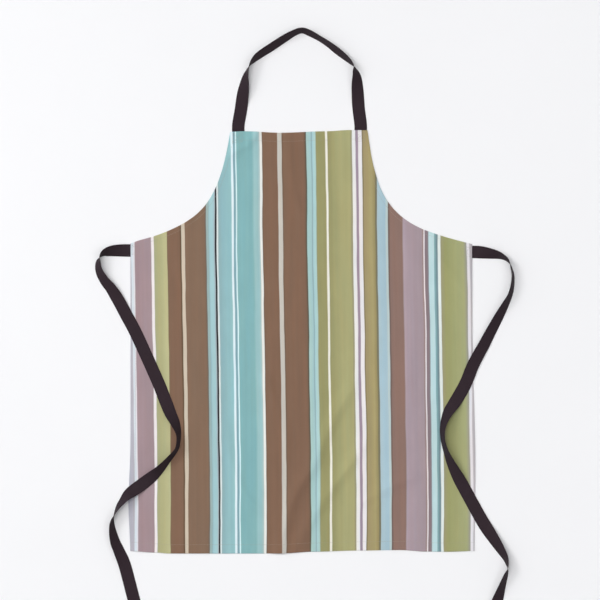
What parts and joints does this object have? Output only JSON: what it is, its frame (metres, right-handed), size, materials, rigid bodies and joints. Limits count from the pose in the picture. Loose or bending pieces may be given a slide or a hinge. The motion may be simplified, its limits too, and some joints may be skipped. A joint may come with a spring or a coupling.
{
  "type": "bib apron",
  "caption": "Bib apron of striped cloth laid flat, with turned hems, a neck loop of twill tape sewn to the bib and a waist tie of the same tape at each side.",
  "frame": {"origin": "under the middle of the panel's box, on the surface that the apron lies on", "axes": "+X across the apron to the right of its front, +Y from the bottom hem to the bib, +Z out of the front"},
  "size_m": [0.8517, 1.2143, 0.0265],
  "materials": {
    "striped_cloth": "plain weave, vertical stripes in brown, teal, olive, mauve and white",
    "hem_cloth": "plain weave, the striped cloth turned to the back",
    "twill_tape": "dark brown-black twill",
    "thread": "taupe sewing thread"
  },
  "bodies": {
    "apron": {"apron_panel": "striped_cloth", "bib_top_hem": "hem_cloth", "left_armhole_hem": "hem_cloth", "right_armhole_hem": "hem_cloth", "left_side_hem": "hem_cloth", "right_side_hem": "hem_cloth", "bottom_hem": "hem_cloth", "bib_top_stitching": "thread", "left_armhole_stitching": "thread", "right_armhole_stitching": "thread", "left_side_stitching": "thread", "right_side_stitching": "thread", "bottom_stitching": "thread", "neck_tape_left_end": "twill_tape", "neck_tape_right_end": "twill_tape", "neck_left_box_stitch": "thread", "neck_right_box_stitch": "thread", "left_tie_end": "twill_tape", "left_tie_box_stitch": "thread", "right_tie_end": "twill_tape", "right_tie_box_stitch": "thread"},
    "neck_loop": {"neck_loop": "twill_tape"},
    "tie_left": {"left_tie": "twill_tape", "left_tie_tip": "twill_tape", "left_tie_tip_stitch": "thread"},
    "tie_right": {"right_tie": "twill_tape", "right_tie_tip": "twill_tape", "right_tie_tip_stitch": "thread"}
  },
  "joints": [
    {"name": "neck_loop_fold", "type": "hinge", "parent": "apron", "child": "neck_loop", "pos_m": [-0.006, 0.4385, 0.0013], "axis": [1, 0, 0], "range_deg": [0, 165]},
    {"name": "left_tie_swing", "type": "hinge", "parent": "apron", "child": "tie_left", "pos_m": [-0.411, 0.1715, 0.0127], "axis": [0, 0, -1], "range_deg": [0, 80]},
    {"name": "right_tie_swing", "type": "hinge", "parent": "apron", "child": "tie_right", "pos_m": [0.42, 0.1595, 0.0127], "axis": [0, 0, 1], "range_deg": [0, 80]}
  ]
}
